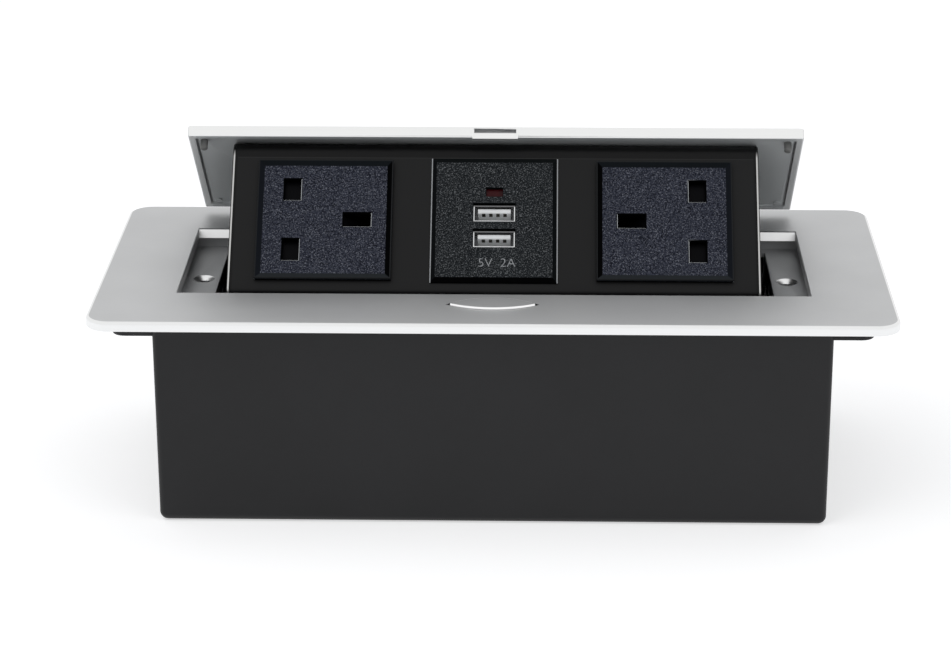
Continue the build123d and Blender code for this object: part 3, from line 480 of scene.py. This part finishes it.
def cutMetal(name):
    # satin anodised metal to start from: its place, its grain and its lightly clouded colour
    finish = Finish(name)
    place = finish.place()
    grain = finish.noise(place, aluminium["grain"], detail=3.0)
    cloud = finish.noise(place, aluminium["cloud"], detail=3.0)
    return finish, place, grain, finish.clouded(cloud, aluminium["satin"], aluminium["cloudShare"])


def shadeMetal(finish, grain, colour, bright, cast):
    # bright and cast are the shares of painted highlight and of dull casting, which on the bezel also carries
    # painted shade
    plain = aluminium["roughness"]
    rough = plain + bright * (aluminium["brightRoughness"] - plain)
    rough = rough + cast * (aluminium["castRoughness"] - plain)
    return finish.shade({
        "Base Color": colour,
        "Metallic": 1.0 - aluminium["castMetal"] * cast,
        "Roughness": rough + (grain - 0.5) * aluminium["spread"],
        "Normal": finish.bump(grain, aluminium["grainDepth"], strength=0.6),
    })


def farFrom(first, second, levels):
    # 0 where the two distances together reach less than the first level, 1 past the second
    low, high = levels
    return (first * first + second * second).between((low * mm) ** 2, (high * mm) ** 2)


def bezelFinish():
    # painted highlight where the outer edge rounds over, along the opening's edges, on the opening's back wall and
    # in the countersinks; cast below the plate, darkened also as painted shade in the well
    look = bezelLook
    finish, place, grain, colour = cutMetal("cast_aluminium")
    x, y, z = (finish.along(place, axis) for axis in ((1, 0, 0), (0, 1, 0), (0, 0, 1)))
    cornerX, cornerY = look["corner"]
    pastX = (x.size() - cornerX * mm).most(0.0)
    pastY = (y.size() - cornerY * mm).most(0.0)
    lip = farFrom(pastX, pastY, look["lip"])
    edge = z.within(look["edgeStart"], look["edgeEnd"])
    backWall = y.within(look["wallStart"], look["wallEnd"]) * (1.0 - z.past(look["edgeEnd"]))
    backWall = backWall * z.past(look["wallFoot"]) * (1.0 - lip)
    holeX, holeY = look["hole"]
    aroundHole = farFrom(x.size() - holeX * mm, y - holeY * mm, look["sink"])
    sink = (1.0 - aroundHole) * (1.0 - z.past(look["sinkTop"]))
    # painted highlights: the lip, the band along the top edges, the back wall and the countersinks take the bright
    # tone
    bright = lip.most(edge).most(backWall).most(sink)
    # duller cast metal below the plate, darkened also as painted shade in the well
    cast = (1.0 - bright) * (1.0 - z.past(look["castAndShadeEnd"]))
    colour = finish.blend(bright, colour, look["edge"])
    colour = finish.blend(cast, colour, look["cast"])
    return shadeMetal(finish, grain, colour, bright, cast)


def lidFinish():
    # painted highlight on the front face, bright side rims, cast underside
    look = lidLook
    finish, place, grain, colour = cutMetal("lid_aluminium")
    x, out, up = finish.shutPlace(place)
    front = out.past(look["front"])
    cast = (1.0 - up.past(look["top"])) * (1.0 - front)
    rim = cast * x.size().past(look["rim"]) * look["rimShare"]
    colour = finish.blend(cast, colour, look["cast"])
    colour = finish.blend(rim, colour, look["edge"])
    # painted highlight: the front face takes the bright tone
    colour = finish.blend(front, colour, look["edge"])
    return shadeMetal(finish, grain, colour, front, cast)


def buttonFinish():
    # painted highlight on the rounded edge and along the back arc, painted shade where the lens comes to its two
    # points
    look = buttonLook
    finish, place, grain, colour = cutMetal("button_metal")
    x = finish.along(place, (1, 0, 0))
    # the top is slightly domed along its length
    crown = look["crown"] * mm - x * x * (0.5 / (look["crownRadius"] * mm))
    edge = (crown - finish.along(place, (0, 0, 1))).past(look["edgeDrop"])
    centre = {0: finish.place((1.0, 1.0, 0.0)), 1: (0.0, look["backArcY"] * mm, 0.0)}
    reach = finish.node("ShaderNodeVectorMath", {"operation": "DISTANCE"}, centre, "Value")
    edge = edge.most(reach.past(look["backArc"]))
    # painted highlight along the rounded edge and the back arc
    colour = finish.blend(edge, colour, look["edge"])
    # painted shade at the lens's two points
    colour = finish.blend(x.size().past(look["points"]), colour, look["point"])
    return shadeMetal(finish, grain, colour, edge, 0.0)


def paintFinish(name, frontHighlight):
    # satin black paint: darker over the bend as painted shade, with a faint painted highlight where that starts,
    # painted shade near the side edges and, on the side plates, a painted highlight along the front edge
    look = paintLook
    finish = Finish(name)
    place = finish.place()
    grain = finish.noise(place, look["grain"], detail=3.0)
    x, out, up = finish.shutPlace(place)
    aside = x.size()
    over = up.past(look["bend"])
    line = over * (1.0 - over) * 4.0   # 1 halfway between the bend's levels, 0 outside them
    # painted shade over the bend and a painted highlight where it starts
    colour = finish.blend(over, look["paint"], look["shoulderShade"])
    colour = finish.blend(line, colour, look["line"])
    # painted shade along the side edges
    colour = finish.blend(aside.past(look["darkEdge"]), colour, look["shoulderShade"])
    highlightShare = 0.0
    # painted highlight: a bright metallic strip along the side plates' front edge
    if frontHighlight:
        highlightShare = aside.within(look["edgeStart"], look["edgeEnd"])
        highlightShare = highlightShare * (1.0 - up.past(look["edgeTop"])) * out.past(look["edgeFront"])
        colour = finish.blend(highlightShare, colour, look["edge"])
    return finish.shade({
        "Base Color": colour,
        "Metallic": highlightShare,
        "Roughness": look["roughness"] + (grain - 0.5) * look["spread"],
        "Specular IOR Level": look["gloss"],
        "Normal": finish.bump(grain, look["grainDepth"], strength=0.7),
    })


def bevelShading(finish, x, up, raised, look):
    # the four bevels meet in mitres, each with its own painted light and shade; other sides are painted dark as
    # shade
    middleX, middleZ = look["middle"]
    fromX = x.size() - middleX * mm
    fromZ = up - middleZ * mm
    ends = finish.blend(fromX.past(speckle["halves"]), look["side"], look["sideOut"])
    longs = finish.blend(fromZ.past(speckle["halves"]), look["sideLow"], look["sideTop"])
    both = finish.blend((fromX.size() - fromZ.size()).past(look["mitre"]), longs, ends)
    return finish.blend(raised.past(look["bevels"]), look["side"], both)


def speckledFinish(name, look):
    finish = Finish(name)
    place = finish.place()
    x, out, up = finish.shutPlace(place)
    raised = out - look["face"] * mm
    onFace = raised.within(speckle["faceStart"], speckle["faceEnd"])
    inMouth = raised.within(speckle["mouthStart"], speckle["faceStart"])
    normal = finish.node("ShaderNodeTexCoord", None, None, "Normal")
    litWall = (finish.along(normal, (1, 0, 0)) * x).between(*speckle["turnAside"])
    litWall = litWall.most(finish.along(normal, upward).between(*speckle["turnUp"]))
    pit = finish.noise(place, look["pit"], detail=2.0).between(*speckle["pits"])
    grain = finish.noise(place, look["grain"], detail=1.0).between(*speckle["grains"])
    patch = finish.noise(place, speckle["patch"], detail=2.0).between(*noiseMiddle)
    colour = finish.blend(pit, look["dark"], look["body"])
    colour = finish.blend(grain, colour, look["light"])
    colour = finish.blend(patch * speckle["patchShare"], colour, look["body"])
    # the bevels and sides take painted light and shade
    colour = finish.blend(onFace, bevelShading(finish, x, up, raised, look), colour)
    # painted highlight on the sockets' slot walls, painted shade on the charger's openings
    colour = finish.blend(inMouth * litWall, colour, look["mouth"])
    # painted highlight: a light edge along the rim's lip
    colour = finish.blend(raised.past(speckle["rimStart"]), colour, look["rim"])
    # the charger gets a painted highlight along its outer edges
    if "edge" in look:
        colour = finish.blend(x.size().past(look["edge"]), colour, look["edgeHighlight"])
    return finish.shade({
        "Base Color": colour,
        "Roughness": look["roughness"] - speckle["sideGloss"] * (1.0 - onFace),
        "Specular IOR Level": speckle["gloss"],
        "Normal": finish.bump((pit + grain) * onFace, speckle["depth"], strength=0.5),
    })


def portFinish():
    # bright shells, each with painted shade on the top of its mouth and on its roof
    look = portLook
    finish = Finish("port_steel")
    place = finish.place()
    grain = finish.noise(place, look["grain"], detail=3.0)
    up = finish.shutPlace(place)[2]
    # painted shade on the top of each mouth and on its roof
    shaded = up.past(look["upper"]).most(up.within(look["lower"], look["lowerEnd"]))
    bright = finish.blend(grain.between(*noiseMiddle), look["dim"], look["lit"])
    return finish.shade({
        "Base Color": finish.blend(shaded, bright, look["shaded"]),
        "Metallic": 1.0,
        "Roughness": look["roughness"] + (grain - 0.5) * look["spread"],
        "Normal": finish.bump(grain, look["grainDepth"], strength=0.6),
    })


def boardFinish():
    look = boardLook
    finish = Finish("board_green")
    place = finish.place()
    cells = {"Vector": place, "Scale": look["cells"]}
    lanes = finish.node("ShaderNodeTexVoronoi", {"distance": "CHEBYCHEV"}, cells)
    track = lanes.between(*look["trackEdge"])
    return finish.shade({
        "Base Color": finish.blend(track, look["lacquer"], look["track"]),
        "Roughness": look["roughness"] + look["spread"] * finish.noise(place, look["grain"]),
        "Normal": finish.bump(track, look["trackDepth"], strength=0.6),
    })


finishes = {name: metalFinish(name, look) for name, look in metals.items()}
finishes.update({name: plasticFinish(name, look) for name, look in plastics.items()})
finishes.update({name: speckledFinish(name, look) for name, look in speckled.items()})
finishes["cast_aluminium"] = bezelFinish()
finishes["lid_aluminium"] = lidFinish()
finishes["button_metal"] = buttonFinish()
finishes["panel_black"] = paintFinish("panel_black", False)
# the side plates' paint, with a painted highlight along the front edge
finishes["paintedSide"] = paintFinish("paintedSide", True)
finishes["port_steel"] = portFinish()
finishes["board_green"] = boardFinish()

nodeSlots = {part["node"]: part["material_slot"] for part in frame["record"]["subparts"]}
shownWith = dict(nodeSlots)   # the finish that each node is shown with
shownWith["side_plate_left"] = shownWith["side_plate_right"] = "paintedSide"
for nodeName, finishName in shownWith.items():
    for slot in nodes[nodeName].material_slots:
        slot.material = finishes[finishName].material
print("finishes made:", len(finishes))


# Pieces

bodies = frame["record"]["behaviour"]["bodies"]
bodyOf = {node: body for body, members in bodies.items() for node in members}


def addPiece(name, mesh, body, slotName, finish=None):
    piece = bpy.data.objects.new(name, mesh)
    bpy.context.scene.collection.objects.link(piece)
    mesh.materials.clear()
    mesh.materials.append((finish or finishes[slotName]).material)
    if body:
        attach(piece, body)
    return piece


def meshOf(name, shape):
    mesh = bpy.data.meshes.new(name)
    bmesh.ops.recalc_face_normals(shape, faces=shape.faces[:])
    shape.to_mesh(mesh)
    shape.free()
    return mesh


weldGap = 0.003   # vertices nearer than this are one, in millimetres
softEdges = {   # CAD nodes shown with broken edges, and the width of each in millimetres
    "bezel_frame": 0.25, "housing_box": 0.25, "lid": 0.22, "release_button": 0.70,
    "side_plate_left": 0.30, "side_plate_right": 0.30,
    "socket_face_left": 0.22, "socket_face_right": 0.22, "usb_face": 0.22,
    "usb_port_upper": 0.12, "usb_port_lower": 0.12,
    "usb_tongue_upper": 0.12, "usb_tongue_lower": 0.12,
    "cable_grommet": 0.25, "rear_cover": 0.20, "front_panel": 0.10,
}
foot = {   # what stands below this level when shut is drawn lower
    "nodes": ("front_panel", "side_plate_left", "side_plate_right"), "below": 19.3, "lower": 2.6,
}
broken = {"angle": math.radians(32), "above": {"release_button": 75.3}}   # which edges are broken
flatTurn = math.radians(0.4)   # faces that turn less than this are one
faceCrease = math.radians(15)   # what shows as a crease on the socket and charger faces


def softenNode(node, width):
    shape = bmesh.new()
    shape.from_mesh(nodes[node].data)
    verts, edges = shape.verts, shape.edges
    bmesh.ops.remove_doubles(shape, verts=verts[:], dist=weldGap * mm)
    bmesh.ops.dissolve_limit(shape, angle_limit=flatTurn, verts=verts[:], edges=edges[:])
    if node in foot["nodes"]:
        low = [vert for vert in verts if vert.co.dot(upward) - zeroUp < foot["below"] * mm]
        bmesh.ops.translate(shape, vec=upward * -foot["lower"] * mm, verts=low)
    bmesh.ops.recalc_face_normals(shape, faces=shape.faces[:])
    share = edges.layers.float.new("bevel_weight_edge")
    above = broken["above"].get(node, -1.0) * mm
    for edge in edges:
        convex = len(edge.link_faces) == 2 and edge.is_convex
        corner = convex and edge.calc_face_angle() > broken["angle"]
        edge[share] = 1.0 if corner and min(vert.co.z for vert in edge.verts) > above else 0.0
    mesh = meshOf("soft_" + node, shape)
    slotName = nodeSlots[node]
    mesh.shade_smooth()
    mesh.set_sharp_from_angle(angle=faceCrease if slotName in speckled else broken["angle"])
    piece = addPiece("soft_" + node, mesh, bodyOf[node], slotName, finishes[shownWith[node]])
    bevel = piece.modifiers.new("brokenEdges", "BEVEL")
    bevel.width = width * mm
    bevel.segments = 2
    bevel.limit_method = "WEIGHT"
    bevel.harden_normals = True
    bevel.use_clamp_overlap = True
    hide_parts(node)


for node, width in softEdges.items():
    softenNode(node, width)
print("edges softened:", len(softEdges))


# Springs, which shorten or wind up as their joints move; here they are copies of the CAD coils with smooth
# shading, at their drawn length

springs = {   # joint, body, the way it shortens, where it stays put and its other end's travel
    "button_springs": ("button_press", "base", (0, 0, 1), 58.0, 1.5),
    "shutter_spring_left": ("shutter_slide_left", "carriage", (1, 0, 0), -70.0, 5.4),
    "shutter_spring_right": ("shutter_slide_right", "carriage", (1, 0, 0), 70.0, 5.4),
}
hingeSprings = {   # the ends on the bracket and in the pin's slot
    "torsion_spring_left": (-95.7, -101.3),
    "torsion_spring_right": (95.7, 101.3),
}


def springCopy(node, body):
    shape = bmesh.new()
    shape.from_mesh(nodes[node].data)
    bmesh.ops.remove_doubles(shape, verts=shape.verts[:], dist=weldGap * mm)
    mesh = meshOf("wound_" + node, shape)
    mesh.shade_smooth()
    mesh.set_sharp_from_angle(angle=broken["angle"])
    piece = addPiece("wound_" + node, mesh, body, nodeSlots[node])
    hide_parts(node)
    return piece


for node, (joint, body, way, fixed, travel) in springs.items():
    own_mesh(springCopy(node, body))
for node, ends in hingeSprings.items():
    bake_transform(springCopy(node, None))
print("springs wound:", len(springs) + len(hingeSprings))


# Charger details: the printed rating and the pads on the two tongues

rating = {
    "text": "5V  2A", "height": 4.5, "x": 1.0, "z": 24.1, "raise": 0.05, "thinner": 0.06,
    "worn": tone(0.14, 0.15, 0.16), "full": tone(0.36, 0.37, 0.38), "wear": (0.25, 0.6),
    "wearSize": 0.5, "roughness": 0.5,
}


def makeRating():
    curve = bpy.data.curves.new("ratingText", "FONT")
    curve.body = rating["text"]
    curve.size = rating["height"] * mm
    curve.align_x = "CENTER"
    curve.extrude = rating["raise"] * mm / 2
    curve.offset = -rating["thinner"] * mm
    letters = bpy.data.objects.new("ratingText", curve)
    bpy.context.scene.collection.objects.link(letters)
    graph = bpy.context.evaluated_depsgraph_get()
    mesh = bpy.data.meshes.new_from_object(letters.evaluated_get(graph))
    bpy.data.objects.remove(letters)
    front = speckled["charger_black"]["face"] + rating["raise"] / 2
    stand = Matrix.Translation(Vector((rating["x"], -front, rating["z"])) * mm)
    mesh.transform(openTurn @ stand @ Matrix.Rotation(math.radians(90), 4, "X"))
    finish = Finish("printedGrey")
    wear = finish.noise(finish.place(), rating["wearSize"], detail=2.0).between(*rating["wear"])
    finish.shade({
        "Base Color": finish.blend(wear, rating["worn"], rating["full"]),
        "Roughness": rating["roughness"],
    })
    addPiece("ratingText", mesh, "carriage", "charger_black", finish)


pads = {
    "x": (-3.6, -1.2, 1.2, 3.6), "width": 1.15, "length": 2.4, "thickness": 0.12, "edge": 0.05,
    "front": -26.3, "under": {"usb_tongue_upper": 44.3, "usb_tongue_lower": 34.8}, "sunk": 0.01,
}


def makePads():
    size = Vector((pads["width"], pads["length"], pads["thickness"])) * mm
    middleY = pads["front"] + pads["length"] / 2
    for node, level in pads["under"].items():
        shape = bmesh.new()
        for x in pads["x"]:
            made = bmesh.ops.create_cube(shape, size=1.0)["verts"]
            bmesh.ops.scale(shape, vec=size, verts=made)
            bmesh.ops.translate(shape, vec=Vector((x, 0.0, 0.0)) * mm, verts=made)
        bmesh.ops.bevel(
            shape, geom=shape.edges[:], offset=pads["edge"] * mm, segments=1, profile=0.5,
            affect="EDGES", material=-1,
        )
        mesh = meshOf("pads_" + node, shape)
        spot = Vector((0.0, middleY, level - pads["thickness"] / 2 + pads["sunk"])) * mm
        mesh.transform(openTurn @ Matrix.Translation(spot))
        # the pads take the brass darkened as painted shade
        addPiece("pads_" + node, mesh, "carriage", "brass_contacts", finishes["shadedBrass"])


makeRating()
makePads()
print("charger details made")
